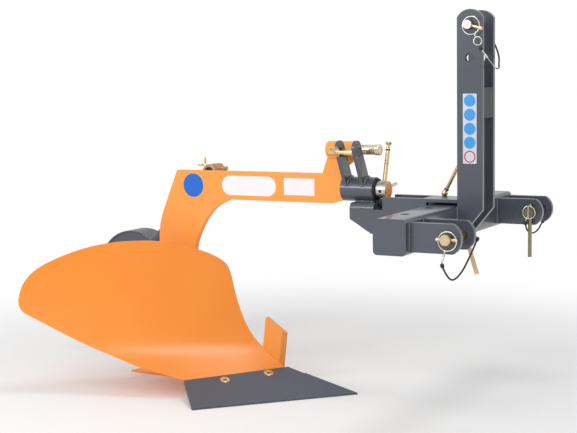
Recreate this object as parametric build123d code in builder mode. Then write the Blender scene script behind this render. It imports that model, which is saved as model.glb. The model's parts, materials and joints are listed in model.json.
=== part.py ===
from build123d import *
import math
import os

# Single-furrow moldboard plough for a small tractor's three-point hitch.
# While modelling: +X forward, +Y to the landside (left), +Z up,
# x = 0 at the hitch beam's front face, y = 0 at the plane of the beam plate and mast,
# z = 0 on the ground. The last section moves every piece to the middle of the whole box.

# ---- clearances
running_gap = 0.05      # radial, shaft in sleeve and axle in hub
pin_gap = 0.3           # radial, a loose hitch pin in its holes
thrust_gap = 0.5        # end play of what turns

# ---- hitch beam and its clevises
hitch_height = 420.0    # its centre line above the ground
hitch_length = 636.0
hitch_depth = 72.0      # along X
hitch_tall = 74.0
hitch_wall = 6.0
hitch_corner = 9.0
hitch_hole_r = 10.0
hitch_hole_x = -40.0
hitch_hole_y = (102.0, 228.0)

clevis_span = 518.0     # between the two clevises' middles
clevis_gap = 62.0       # between the cheeks of one clevis
cheek_thick = 12.0
cheek_tall = 60.0
cheek_reach = 110.0
cheek_nose = 17.0        # from where its curve starts to its tip
lower_pin_x = 83.0
lower_pin_r = 11.0
lower_pin_end = 18.0    # what shows outside the cheek
lower_pin_head = 16.0   # past the inner cheek, with the handle through it
handle_r = 4.5
handle_above = 20.0     # of it above the pin
handle_below = {"right": 85.0, "left": 104.0}
handle_swing = {"right": 17.0, "left": 0.0}    # degrees forward from straight down

# ---- linchpins, their rings and the tethers' rings
linch_r = 2.9
linch_length = 46.0
linch_inset = 9.0       # from the pin's end to the linchpin
linch_ring_r = 19.0
wire_r = 1.5
top_linch_tilt = 17.5   # degrees, its front end down
tether_r = 2.0
tether_rings = {"right": (92.5, 417.0, 16.2), "left": (83.4, 420.5, 20.0)}   # x, z, radius

# ---- mast
mast_gap = 56.0
mast_thick = 12.0
mast_wide = 58.0
mast_top = 878.0
mast_shoulder = 17.0    # from where its round top starts to the very top
mast_toe_x = 3.0
mast_toe_rise = 66.0
top_pin_r = 9.5
top_pin_drop = 33.0     # below the mast's top
top_pin_end = 15.0
spare_hole_r = 10.0
spare_hole_drop = 103.0
spacer_thick = 8.0
spacer_tall = 66.0
spacer_z = 679.0

# ---- main shaft and the sleeve that it turns in
shaft_z = 483.0
shaft_r = 20.0
shaft_front = -179.0
shaft_rear = -322.0
sleeve_r = 28.0
sleeve_front = -209.0
sleeve_length = 89.0
sleeve_rear = sleeve_front - sleeve_length
roll_pin_r = 4.0
roll_pin_x = -197.0
roll_pin_near = -19.0
roll_pin_far = 72.0

# ---- saddle under the sleeve
saddle_thick = 12.0
saddle_rear = -260.0
saddle_web_front = -200.0
saddle_step_x = -178.0
saddle_step_z = 470.0
saddle_cut_z = 441.0
saddle_heel_z = 418.0
saddle_bottom = 386.0
saddle_toe_x = -207.0
saddle_bend = 13.0      # outer radius of the web's two long bends
saddle_tie_rear = -85.0 # the flat plate over the hitch beam
saddle_tie_thick = 8.0

# ---- lugs on the sleeve, with their cross bolt
lug_thick = 8.0
lug_wide = 36.0
lug_x = (-276.0, -234.0)
lug_lean = 118.0        # degrees from +Y, seen from the front
lug_bolt_z = 570.0
lug_bolt_y = -49.0
lug_round_rise = 10.0   # from the bolt to the middle of the round top
lug_bolt_r = 9.5
lug_bolt_tail = 34.0    # behind the rear lug
lug_bolt_head = 12.0

# ---- beam plate, shank and frog
plate_thick = 15.0
beam_top = 517.0
beam_bottom = 448.0
beam_front = sleeve_rear - thrust_gap
shank_rear_top = -750.0
shank_wide = 112.0
shank_front = -695.0
frog_rear = -780.0
fin_foot_x = -400.0
sole_thick = 10.0

# ---- tube over the shaft, and the pin in it
perch_z = 573.0
perch_r = 19.0
perch_rear = -336.0
perch_front = -246.0
perch_pin_r = 12.5
perch_pin_front = -199.0
perch_groove_x = -213.0
gusset_nose_x = -262.0

# ---- two rods with ball ends
rod_r = 4.5
front_rod_r = 5.3
ball_r = 7.5

# ---- share
share_angle = 46.0      # between its edge and the way of travel
share_lift = 20.0
share_thick = 9.0
share_tip_x = -264.0
share_edge = 396.0
share_bolts = {"front": (185.0, 115.0), "rear": (295.0, 103.0)}   # along the edge, up the slope
share_bolt_r = 10.0
share_rear = 115.0      # up the slope, at the wing
share_nose = 134.0      # up the slope, at the landside
share_nose_s = 129.0

# ---- moldboard: straight lines from a curve at the landside to one at the wing
board_thick = 9.0       # along X
board_near = -380.0     # y of the wing curve
board_land = -8.0       # y of the landside curve

# ---- landside
landside_tall = 95.0
landside_thick = 10.0
landside_front = -360.0
landside_rear = -900.0
landside_foot = 48.0

# ---- gauge wheel, its arm and clamp
clamp_x = -666.0
clamp_z = 513.0
clamp_r = 19.0
clamp_length = 50.0
arm_r = 12.0
arm_bend = 22.0
arm_sides = 12
arm_y = 82.0
wheel_x = -987.0
wheel_z = 234.0
wheel_r = 106.0
wheel_wide = 73.0
rim_thick = 5.0
disc_thick = 4.0
disc_inset = 5.0
hub_r = 24.0
hub_proud = 6.0
collar_r = 20.0
collar_wide = 8.0
wheel_y = arm_y + arm_bend + collar_wide + thrust_gap + hub_proud

cheek_y = [side * clevis_span / 2 + inner * (clevis_gap + cheek_thick) / 2
           for side in (-1, 1) for inner in (-1, 1)]
hitch_low = hitch_height - hitch_tall / 2
hitch_high = hitch_height + hitch_tall / 2
plate_half = plate_thick / 2
pieces = {}


def side_plane(y):
    """A plane facing -Y at the given y: its x is +X and its y is +Z."""
    return Plane(origin=(0, y, 0), x_dir=(1, 0, 0), z_dir=(0, -1, 0))


def front_plane(x):
    """A plane facing +X at the given x: its x is +Y and its y is +Z."""
    return Plane(origin=(x, 0, 0), x_dir=(0, 1, 0), z_dir=(1, 0, 0))


def ball(centre):
    """A stepped bead about a point: a wide low disc around a narrower tall one."""
    for across, tall in ((1.0, 1.1), (0.8, 1.7)):
        with BuildSketch(Plane(origin=centre).offset(-ball_r * tall / 2)) as ring:
            RegularPolygon(ball_r * across, 16)
        extrude(ring.sketch, amount=ball_r * tall)


def keep(name, builder):
    builder.part.label = name
    pieces[name] = builder.part


# ================= headstock =================
with BuildPart() as hitch_beam:
    with BuildSketch(side_plane(-hitch_length / 2)):
        with Locations((-hitch_depth / 2, hitch_height)):
            RectangleRounded(hitch_depth, hitch_tall, hitch_corner)
    extrude(amount=-hitch_length)
    with BuildSketch(side_plane(-hitch_length / 2 + hitch_wall)):
        with Locations((-hitch_depth / 2, hitch_height)):
            Rectangle(hitch_depth - 2 * hitch_wall, hitch_tall - 2 * hitch_wall)
    extrude(amount=-(hitch_length - 2 * hitch_wall), mode=Mode.SUBTRACT)
    for y in hitch_hole_y:
        with Locations((hitch_hole_x, y, hitch_high), (hitch_hole_x, -y, hitch_high)):
            Cylinder(hitch_hole_r, 2.5 * hitch_tall, mode=Mode.SUBTRACT)
keep("hitch_beam", hitch_beam)

cheek_names = ["right_outer", "right_inner", "left_inner", "left_outer"]
for name, y in zip(cheek_names, cheek_y):
    with BuildPart() as cheek:
        with BuildSketch(side_plane(y - cheek_thick / 2)):
            with BuildLine():
                cheek_low = hitch_height - cheek_tall / 2
                cheek_high = hitch_height + cheek_tall / 2
                Polyline((cheek_reach - cheek_nose, cheek_low), (0, cheek_low), (0, cheek_high),
                         (cheek_reach - cheek_nose, cheek_high))
                ThreePointArc((cheek_reach - cheek_nose, cheek_high), (cheek_reach, hitch_height),
                              (cheek_reach - cheek_nose, cheek_low))
            make_face()
            with Locations((lower_pin_x, hitch_height)):
                Circle(lower_pin_r + pin_gap, mode=Mode.SUBTRACT)
        extrude(amount=-cheek_thick)
    keep("cheek_" + name, cheek)

pin_ends = {}
for side, name in ((-1, "right"), (1, "left")):
    # both pins point outwards, with the handle inboard, where it hangs straight or at an angle
    tip = clevis_span / 2 + clevis_gap / 2 + cheek_thick + lower_pin_end
    head = clevis_span / 2 - clevis_gap / 2 - cheek_thick - lower_pin_head
    pin_ends[name] = (side * tip, side * head)
    with BuildPart() as lower_pin:
        with BuildSketch(side_plane(side * tip)):
            with Locations((lower_pin_x, hitch_height)):
                Circle(lower_pin_r)
        extrude(amount=side * (tip - head))
        with Locations(Location((lower_pin_x, side * (tip - linch_inset), hitch_height), (0, 90, 0))):
            Cylinder(linch_r + pin_gap, 4 * lower_pin_r, mode=Mode.SUBTRACT)
        turned = Location((lower_pin_x, side * (head + lower_pin_head / 2), hitch_height),
                          (0, -handle_swing[name], 0))
        with Locations(turned):
            with Locations((0, 0, handle_above)):
                Cylinder(handle_r, handle_above + handle_below[name],
                         align=(Align.CENTER, Align.CENTER, Align.MAX))
    keep("lower_pin_" + name, lower_pin)

mast_faces = {"right": -mast_gap / 2 - mast_thick, "left": mast_gap / 2}
for name, y in mast_faces.items():
    with BuildPart() as mast:
        with BuildSketch(side_plane(y)):
            with BuildLine():
                Polyline((0, hitch_low), (mast_toe_x, hitch_low),
                         (mast_wide, hitch_low + mast_toe_rise), (mast_wide, mast_top - mast_shoulder))
                ThreePointArc((mast_wide, mast_top - mast_shoulder), (mast_wide / 2, mast_top),
                              (0, mast_top - mast_shoulder))
                Line((0, mast_top - mast_shoulder), (0, hitch_low))
            make_face()
            with Locations((mast_wide / 2, mast_top - top_pin_drop)):
                Circle(top_pin_r + pin_gap, mode=Mode.SUBTRACT)
            with Locations((mast_wide / 2, mast_top - spare_hole_drop)):
                Circle(spare_hole_r, mode=Mode.SUBTRACT)
        extrude(amount=-mast_thick)
    keep("mast_" + name, mast)

with BuildPart() as mast_spacer:
    with BuildSketch(front_plane(mast_wide - spacer_thick)):
        with Locations((0, spacer_z)):
            Rectangle(mast_gap, spacer_tall)
    extrude(amount=spacer_thick)
keep("mast_spacer", mast_spacer)

top_low = -mast_gap / 2 - mast_thick - top_pin_end
top_head = mast_gap / 2 + mast_thick + 0.3
top_length = top_head - top_low
with BuildPart() as top_pin:
    with BuildSketch(side_plane(top_low)):
        with Locations((mast_wide / 2, mast_top - top_pin_drop)):
            Circle(top_pin_r)
    extrude(amount=-top_length)
    with BuildSketch(side_plane(top_head)):
        with Locations((mast_wide / 2, mast_top - top_pin_drop)):
            Circle(top_pin_r + 4)
    extrude(amount=-8)
    with Locations(Location((mast_wide / 2, top_low + linch_inset - 2, mast_top - top_pin_drop),
                            (0, 90 + top_linch_tilt, 0))):
        Cylinder(linch_r + pin_gap, 4 * top_pin_r, mode=Mode.SUBTRACT)
keep("top_pin", top_pin)

# linchpins: a shank across the pin, its ring folded over the pin's end, and the wire link to the tether
linchpins = {
    # name: (x, y, z where the shank crosses the pin's axis, which way is outwards, the shank's tilt,
    #        how far its middle is forward of the pin, the ring's x and z and the link's end from there)
    "right": (lower_pin_x, pin_ends["right"][0] + linch_inset, hitch_height, -1, 0.0,
              0.0, 2.4, -2.8, -7.5, -45.4),
    "left": (lower_pin_x, pin_ends["left"][0] - linch_inset, hitch_height, 1, 0.0,
             0.0, 0.0, -1.0, -2.1, -29.6),
    "top": (mast_wide / 2, top_low + linch_inset - 2, mast_top - top_pin_drop, -1, top_linch_tilt,
            11.0, 6.6, -2.2, 27.8, -46.0),
}
for name, (x, y, z, out, tilt, slide, ring_dx, ring_dz, foot_dx, foot_dz) in linchpins.items():
    ring_y = y + out * (linch_r - wire_r)
    along = Vector(math.cos(math.radians(tilt)), 0, -math.sin(math.radians(tilt)))
    ring_at = Vector(x + ring_dx, ring_y, z + ring_dz)
    foot = Vector(x + foot_dx, ring_y + out * 4, z + foot_dz)
    with BuildPart() as linchpin:
        with BuildSketch(Plane(origin=Vector(x, y, z) + along * (slide - linch_length / 2), z_dir=along)):
            RegularPolygon(linch_r, 12)
        extrude(amount=linch_length)
        with BuildSketch(side_plane(ring_y - 0.9 * wire_r)):
            with Locations((ring_at.X, ring_at.Z)):
                RegularPolygon(linch_ring_r + 0.9 * wire_r, 24)
                RegularPolygon(linch_ring_r - 0.9 * wire_r, 24, mode=Mode.SUBTRACT)
        extrude(amount=-1.8 * wire_r)
        top = ring_at + Vector(foot.X - ring_at.X, 0, foot.Z - ring_at.Z).normalized() * linch_ring_r
        with BuildSketch(Plane(origin=top, z_dir=foot - top)):
            RegularPolygon(wire_r * 0.8, 6)
        extrude(amount=(foot - top).length)
    keep("linchpin_" + name, linchpin)

for name, (tip_y, head_y) in pin_ends.items():
    out = -1 if head_y > 0 else 1
    ring_y = head_y + out * (wire_r + 0.1)
    ring_x, ring_z, ring_r = tether_rings[name]
    with BuildPart() as tether_ring:
        with BuildSketch(side_plane(ring_y - 0.9 * wire_r)):
            with Locations((ring_x, ring_z)):
                RegularPolygon(ring_r + 0.9 * wire_r, 24)
                RegularPolygon(ring_r - 0.9 * wire_r, 24, mode=Mode.SUBTRACT)
                Rectangle(2 * ring_r, 1.8 * wire_r)
        extrude(amount=-1.8 * wire_r)
    keep("tether_ring_" + name, tether_ring)

with BuildPart() as sleeve:
    with BuildSketch(front_plane(sleeve_rear)):
        with Locations((0, shaft_z)):
            Circle(sleeve_r)
            Circle(shaft_r + running_gap, mode=Mode.SUBTRACT)
    extrude(amount=sleeve_length)
keep("sleeve", sleeve)

# inverted U: its web carries the sleeve, its flanges are welded to the hitch beam
saddle_top = shaft_z - sleeve_r
saddle_half = mast_gap / 2 + mast_thick
with BuildPart() as saddle:
    with BuildSketch(side_plane(-saddle_half)):
        with BuildLine():
            Polyline((saddle_rear, saddle_top), (saddle_web_front, saddle_top),
                     (saddle_web_front, saddle_cut_z), (saddle_step_x, saddle_cut_z),
                     (saddle_step_x, saddle_step_z), (-hitch_depth, saddle_step_z),
                     (-hitch_depth, saddle_bottom), (saddle_toe_x, saddle_bottom),
                     (saddle_rear, saddle_heel_z), (saddle_rear, saddle_top))
        make_face()
    extrude(amount=-2 * saddle_half)
    bends = saddle.edges().filter_by(Axis.X).group_by(Axis.X)[0].filter_by_position(
        Axis.Z, saddle_top - 0.1, saddle_top + 0.1)
    fillet(bends, saddle_bend)
    with BuildSketch(side_plane(-saddle_half + saddle_thick)):
        with Locations((saddle_rear, 0)):
            Rectangle(saddle_web_front - saddle_rear, saddle_top - saddle_thick,
                      align=(Align.MIN, Align.MIN))
        with Locations((saddle_web_front, 0)):
            Rectangle(-hitch_depth - saddle_web_front, saddle_step_z + saddle_thick,
                      align=(Align.MIN, Align.MIN))
    extrude(amount=-(2 * saddle_half - 2 * saddle_thick), mode=Mode.SUBTRACT)
    with BuildSketch(side_plane(saddle_half - saddle_thick)):
        with Locations((-hitch_depth, hitch_high)):
            Rectangle(hitch_depth, saddle_step_z - hitch_high, align=(Align.MIN, Align.MIN))
    extrude(amount=-saddle_thick)
    with BuildSketch(side_plane(-saddle_half)):
        with Locations((saddle_tie_rear, saddle_step_z)):
            Rectangle(-saddle_tie_rear, saddle_tie_thick, align=(Align.MIN, Align.MAX))
    extrude(amount=-2 * saddle_half)
keep("saddle", saddle)

lean = math.radians(lug_lean)
round_y = lug_bolt_y + lug_round_rise * math.cos(lean)
round_z = lug_bolt_z + lug_round_rise * math.sin(lean)
lug_reach = (round_z - shaft_z) / math.sin(lean)
for name, x in zip(("rear", "front"), lug_x):
    with BuildPart() as lug:
        with BuildSketch(front_plane(x - lug_thick / 2)):
            with Locations((round_y, round_z)):
                Circle(lug_wide / 2)
            with Locations(Location((round_y, round_z, 0), (0, 0, lug_lean))):
                Rectangle(lug_reach, lug_wide, align=(Align.MAX, Align.CENTER))
            with Locations((0, shaft_z)):
                Circle(sleeve_r, mode=Mode.SUBTRACT)
            with Locations((0, shaft_z)):
                Rectangle(6 * sleeve_r, 3 * sleeve_r, align=(Align.CENTER, Align.MAX), mode=Mode.SUBTRACT)
            with Locations((lug_bolt_y, lug_bolt_z)):
                Circle(lug_bolt_r + pin_gap, mode=Mode.SUBTRACT)
            if name == "rear":
                # its hole is open to the furrow side, so that the bolt can be laid in
                with Locations((lug_bolt_y, lug_bolt_z)):
                    Rectangle(2 * lug_wide, 2 * (lug_bolt_r + pin_gap), align=(Align.MAX, Align.CENTER),
                              mode=Mode.SUBTRACT)
        extrude(amount=lug_thick)
    keep("lug_" + name, lug)

bolt_rear = lug_x[0] - lug_bolt_tail
with BuildPart() as lug_bolt:
    with BuildSketch(front_plane(bolt_rear)):
        with Locations((lug_bolt_y, lug_bolt_z)):
            Circle(lug_bolt_r)
    extrude(amount=lug_x[1] + lug_thick / 2 - 2 - bolt_rear)
    with BuildSketch(front_plane(bolt_rear - lug_bolt_head)):
        with Locations((lug_bolt_y, lug_bolt_z)):
            RegularPolygon(lug_bolt_r + 4, 6)
    extrude(amount=lug_bolt_head)
keep("lug_bolt", lug_bolt)

rear_ball = Vector(-58, saddle_half - saddle_thick / 2, saddle_step_z + 0.85 * ball_r)
rear_tip = Vector(-8, saddle_half - saddle_thick / 2 - 3, saddle_step_z + 98)
with BuildPart() as rear_rod:
    ball(rear_ball)
    with BuildSketch(Plane(origin=rear_ball, z_dir=rear_tip - rear_ball)):
        RegularPolygon(rod_r, 12)
    extrude(amount=(rear_tip - rear_ball).length)
keep("rod_rear", rear_rod)

# ================= plough body =================
with BuildPart() as shaft:
    with BuildSketch(front_plane(shaft_rear)):
        with Locations((0, shaft_z)):
            Circle(shaft_r)
    extrude(amount=shaft_front - shaft_rear)
    chamfer(shaft.faces().sort_by(Axis.X)[-1].edges(), 1.5)
    with Locations(Location((roll_pin_x, 0, shaft_z), (90, 0, 0))):
        Cylinder(roll_pin_r + running_gap, 3 * shaft_r, mode=Mode.SUBTRACT)
keep("main_shaft", shaft)

with BuildPart() as roll_pin:
    with BuildSketch(side_plane(roll_pin_near)):
        with Locations((roll_pin_x, shaft_z)):
            Circle(roll_pin_r)
    extrude(amount=-(roll_pin_far - roll_pin_near))
keep("roll_pin", roll_pin)

with BuildPart() as beam:
    with BuildSketch(side_plane(-plate_half)):
        with BuildLine():
            Polyline((beam_front, beam_bottom + 9), (beam_front - 35, beam_bottom), (-596, beam_bottom))
            ThreePointArc((-596, beam_bottom), (-668, 391), (shank_front, 320))
            Polyline((shank_front, 320), (-640, 215), (-590, 195), (-543, 110), (-526, 97), (-512, 90),
                     (-497, 165), (-457, 140), (-465, 58),
                     (-440, 52), (fin_foot_x - 0.3, 30), (fin_foot_x - 0.3, sole_thick),
                     (frog_rear, sole_thick), (-800, 200),
                     (shank_front - shank_wide, 320), (-806, 391))
            Line((-806, 391), (shank_rear_top, beam_top))
            Polyline((shank_rear_top, beam_top), (-345, beam_top), (-325, perch_z), (gusset_nose_x, perch_z),
                     (gusset_nose_x, perch_z - perch_r - 4), (beam_front, shaft_z + 45),
                     (beam_front, beam_bottom + 9))
        make_face()
    extrude(amount=-plate_thick)
    for round_z, round_r, round_rear in ((shaft_z, shaft_r, shaft_rear), (perch_z, perch_r, perch_rear)):
        with BuildSketch(front_plane(round_rear)):
            with Locations((0, round_z)):
                Circle(round_r)
        extrude(amount=-round_rear, mode=Mode.SUBTRACT)
keep("beam", beam)

with BuildPart() as perch:
    with BuildSketch(front_plane(perch_rear)):
        with Locations((0, perch_z)):
            Circle(perch_r)
            Circle(perch_pin_r + pin_gap, mode=Mode.SUBTRACT)
    extrude(amount=perch_front - perch_rear)
keep("perch_tube", perch)

with BuildPart() as perch_pin:
    with BuildSketch(front_plane(perch_rear)):
        with Locations((0, perch_z)):
            Circle(perch_pin_r)
    extrude(amount=perch_pin_front - perch_rear)
    with BuildSketch(front_plane(perch_groove_x)):
        with Locations((0, perch_z)):
            Circle(perch_pin_r)
            Circle(perch_pin_r - 1.5, mode=Mode.SUBTRACT)
    extrude(amount=3, mode=Mode.SUBTRACT)
keep("perch_pin", perch_pin)

front_foot = Vector(roll_pin_x, 13, shaft_z + 12)
front_ball = Vector(roll_pin_x, 38, perch_z + 7)
with BuildPart() as front_rod:
    ball(front_ball)
    with BuildSketch(Plane(origin=front_ball, z_dir=front_foot - front_ball)):
        RegularPolygon(front_rod_r, 12)
    extrude(amount=(front_foot - front_ball).length)
    with BuildSketch(front_plane(roll_pin_x - 4 * front_rod_r)):
        with Locations((0, shaft_z)):
            Circle(shaft_r)
    extrude(amount=8 * front_rod_r, mode=Mode.SUBTRACT)
keep("rod_front", front_rod)

share_dir = Vector(-math.cos(math.radians(share_angle)), -math.sin(math.radians(share_angle)), 0)
share_up = Vector(-share_dir.Y * -1 * math.cos(math.radians(share_lift)),
                  share_dir.X * -1 * math.cos(math.radians(share_lift)),
                  math.sin(math.radians(share_lift)))
share_face = Plane(origin=(share_tip_x, 0, 0), x_dir=share_dir, z_dir=share_dir.cross(share_up) * -1)
share_side = -1 if share_face.y_dir.Z < 0 else 1
with BuildPart() as share:
    with BuildSketch(share_face):
        with BuildLine():
            Polyline((0, 0), (share_edge, 0), (share_edge - 6, share_side * share_rear),
                     (share_nose_s, share_side * share_nose), (0, 0))
        make_face()
    extrude(amount=share_thick / 2, both=True)
    with Locations((share_tip_x, 0, -500)):
        Box(3000, 3000, 1000, mode=Mode.SUBTRACT)
    with Locations((fin_foot_x, -plate_half - 0.3, 0)):
        Box(1000, 100, 1000, align=(Align.MAX, Align.MIN, Align.CENTER), mode=Mode.SUBTRACT)
    with BuildSketch(share_face.offset(-share_thick)):
        for along, up in share_bolts.values():
            with Locations((along, share_side * up)):
                Circle(share_bolt_r + 0.1)
    extrude(amount=3 * share_thick, mode=Mode.SUBTRACT)
keep("share", share)

for name, (along, up) in share_bolts.items():
    with BuildPart() as share_bolt:
        with BuildSketch(share_face.offset(-share_thick)):
            with Locations((along, share_side * up)):
                RegularPolygon(share_bolt_r, 16)
        extrude(amount=2 * share_thick)
    keep("share_bolt_" + name, share_bolt)


def board_point(y, z, x_land, angle):
    """Where the line that leaves the landside curve at height z meets the plane y."""
    return (x_land - (board_land - y) / math.tan(math.radians(angle)), z)


board_curve = [
    # x and z on the landside curve, degrees between the line from there and the way of travel
    (-449.0, 44.0, 50.0), (-485.0, 72.0, 46.5), (-531.0, 108.0, 43.5), (-578.0, 190.0, 39.5),
    (-602.0, 300.0, 37.0), (-604.0, 380.0, 36.0),
]
board_top = [(-599, 266), (-617, 297), (-666, 328), (-736, 350), (-795, 354), (-869, 345), (-930, 321.5),
             (-976, 290), (-994, 236)]
board_tail = (-986, 208)
board_low = [(-967, 192), (-901, 155.4), (-836, 123), (-756, 90), (-706, 72), (-656, 57), (-612, 42.5)]
board_foot = [(-612, 42.5), (-446, 48.5), (-430, 48.5), (-430, 262), (-599, 262), (-599, 266)]
with BuildPart() as moldboard:
    for y in (board_land, board_near):
        with BuildSketch(side_plane(y)):
            with BuildLine():
                front = [board_point(y, z, x, a) for x, z, a in board_curve]
                back = [(px - board_thick, pz) for px, pz in front]
                Spline(front)
                Line(front[-1], back[-1])
                Spline(back[::-1])
                Line(back[0], front[0])
            make_face()
    loft(ruled=True)
    with BuildSketch(side_plane(board_near * 2)):
        with BuildLine():
            Spline(board_top)
            ThreePointArc(board_top[-1], board_tail, board_low[0])
            Spline(board_low)
            Polyline(board_foot)
        make_face()
    extrude(amount=4 * board_near, mode=Mode.INTERSECT)
keep("moldboard", moldboard)

with BuildPart() as landside:
    with BuildSketch(side_plane(plate_half)):
        with BuildLine():
            Polyline((landside_front, 0), (landside_front - 110, 34), (landside_front - 132, landside_tall),
                     (landside_rear + 90, landside_tall), (landside_rear + 40, 0), (landside_front, 0))
        make_face()
    extrude(amount=-landside_thick)
    with BuildSketch():
        with BuildLine():
            Polyline((landside_front, plate_half), (landside_rear, plate_half),
                     (landside_rear, plate_half - 20), (landside_rear + 60, plate_half - landside_foot),
                     (landside_front - 40, plate_half - landside_foot), (landside_front, plate_half))
        make_face()
    extrude(amount=sole_thick)
keep("landside", landside)

with BuildPart() as clamp:
    with BuildSketch(side_plane(plate_half)):
        with Locations((clamp_x, clamp_z)):
            RegularPolygon(clamp_r, 8, rotation=22.5)
            Circle(arm_r + running_gap, mode=Mode.SUBTRACT)
    extrude(amount=-clamp_length)
keep("wheel_clamp", clamp)

# wing screw, square to the clamp's upper rear face
wing_plane = Plane(origin=(clamp_x, plate_half + 10, clamp_z), x_dir=(0, 1, 0), z_dir=(-1, 0, 1))
clamp_flat = clamp_r * math.cos(math.radians(22.5))
with BuildPart() as wing_screw:
    with BuildSketch(wing_plane.offset(clamp_flat)):
        Circle(4)
    extrude(amount=9)
    with BuildSketch(Plane(origin=(clamp_x, plate_half + 7.5, clamp_z), x_dir=(1, 0, 1), z_dir=(0, -1, 0))):
        with BuildLine():
            Polyline((-5, clamp_flat + 6), (5, clamp_flat + 6), (15, clamp_flat + 22),
                     (9, clamp_flat + 24), (0, clamp_flat + 12), (-9, clamp_flat + 24),
                     (-15, clamp_flat + 22), (-5, clamp_flat + 6))
        make_face()
    extrude(amount=-5)
keep("wing_screw", wing_screw)

# brace from the frog to the back of the moldboard's wing
brace_r = 10.0
brace_frog = Vector(-770, -plate_half, 120)
brace_wing = Vector(-858, -236, 190)
with BuildPart() as brace:
    with BuildSketch(Plane(origin=brace_frog, z_dir=brace_wing - brace_frog).offset(-2 * brace_r)):
        Circle(brace_r)
    extrude(amount=(brace_wing - brace_frog).length + 2 * brace_r)
    add(moldboard.part, mode=Mode.SUBTRACT)
    with Locations((brace_frog.X, -plate_half, brace_frog.Z)):
        Box(300, 300, 300, align=(Align.CENTER, Align.MIN, Align.CENTER), mode=Mode.SUBTRACT)
with BuildPart() as brace_rod:
    add(brace.solids().sort_by(Axis.Y)[-1])
keep("brace", brace_rod)

# ================= gauge wheel =================
hub_low = wheel_y - hub_proud
hub_high = wheel_y + wheel_wide + hub_proud
axle_y = hub_high + thrust_gap + collar_wide + 4
with BuildPart() as arm:
    with BuildLine() as arm_path:
        FilletPolyline((clamp_x, plate_half, clamp_z), (clamp_x, arm_y, clamp_z),
                       (wheel_x, arm_y, wheel_z), (wheel_x, axle_y, wheel_z), radius=arm_bend)
    with BuildSketch(side_plane(plate_half)):
        with Locations((clamp_x, clamp_z)):
            RegularPolygon(arm_r, arm_sides)
    sweep()
keep("wheel_arm", arm)

for name, low in (("inner", hub_low - thrust_gap - collar_wide), ("outer", hub_high + thrust_gap)):
    with BuildPart() as collar:
        with BuildSketch(side_plane(low)):
            with Locations((wheel_x, wheel_z)):
                RegularPolygon(collar_r, 24)
                RegularPolygon(arm_r, arm_sides, mode=Mode.SUBTRACT)
        extrude(amount=-collar_wide)
    keep("wheel_collar_" + name, collar)

inner_r = wheel_r - rim_thick
wheel_sides = 48
wheel_rings = [
    # from y, to y, outer radius, inner radius
    (hub_low, hub_high, hub_r, 0.0),
    (wheel_y, wheel_y + wheel_wide, wheel_r, inner_r),
    (wheel_y + disc_inset, wheel_y + disc_inset + disc_thick, inner_r + 1, 0.0),
    (wheel_y + wheel_wide - disc_inset - disc_thick, wheel_y + wheel_wide - disc_inset, inner_r + 1, 0.0),
]
with BuildPart() as wheel:
    for low, high, outer, bore in wheel_rings:
        with BuildSketch(side_plane(low)):
            with Locations((wheel_x, wheel_z)):
                RegularPolygon(outer, wheel_sides)
                if bore > 0:
                    RegularPolygon(bore, wheel_sides, mode=Mode.SUBTRACT)
        extrude(amount=-(high - low))
    with BuildSketch(side_plane(hub_low)):
        with Locations((wheel_x, wheel_z)):
            RegularPolygon(arm_r + running_gap, wheel_sides, major_radius=False)
    extrude(amount=-(hub_high - hub_low), mode=Mode.SUBTRACT)
keep("wheel", wheel)

# ================= tethers from linchpin to pin =================
tether_routes = {
    "right": [(75.5, -317, 374), (78, -317, 365), (82.4, -313, 353.5), (85, -304, 343.5),
              (88.2, -294, 337.5), (92, -280, 340), (97.5, -264, 351), (101.2, -249, 365.7),
              (104.2, -232, 382.8), (106.4, -216, 398.9), (108.3, -202, 413.2)],
    "left": [(74.9, 198, 400), (74.9, 203, 384), (77.4, 214, 373.8), (79.9, 230, 369.1), (81.8, 248, 367.9),
             (83.4, 272, 373.3), (82.2, 296, 383.5), (80.9, 316, 388)],
    "top": [(56.8, -53.4, 798.4), (62, -52.5, 790), (69, -49, 778.9), (76.9, -38, 763.5),
            (80.6, -15, 749.7), (78, 10, 753), (70.6, 28, 762), (64.6, 48, 773.6), (57.9, 52, 793.7),
            (46, 53, 816), (34, 51, 837)],
}
for name, route in tether_routes.items():
    spots = [Vector(*spot) for spot in route]
    runs = [b - a for a, b in zip(spots, spots[1:])]
    radii = [0.45 * min(a.length, b.length) / math.tan(math.radians(a.get_angle(b)) / 2)
             for a, b in zip(runs, runs[1:])]
    print("tether", name, "radii", [round(r) for r in radii])
    with BuildPart() as tether:
        with BuildLine() as line:
            FilletPolyline(*spots, radius=radii)
        with BuildSketch(Plane(origin=spots[0], z_dir=runs[0])):
            RegularPolygon(tether_r, 6)
        sweep()
    print("tether", name, "length", round(line.wire().length), "volume / section * length",
          round(tether.part.volume / (1.5 * math.sqrt(3) * tether_r ** 2 * line.wire().length), 4))
    keep("tether_" + name, tether)

# ================= to the middle of the box, and out =================
boxes = [piece.bounding_box() for piece in pieces.values()]
middle_x = (min(box.min.X for box in boxes) + max(box.max.X for box in boxes)) / 2
middle_y = (min(box.min.Y for box in boxes) + max(box.max.Y for box in boxes)) / 2
os.makedirs("parts", exist_ok=True)
for name, piece in pieces.items():
    export_step(piece.moved(Location((-middle_x, -middle_y, 0))), "parts/" + name + ".step")
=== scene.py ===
import json
import math
import bmesh
import bpy
import numpy as np
from mathutils import Matrix, Vector


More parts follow.
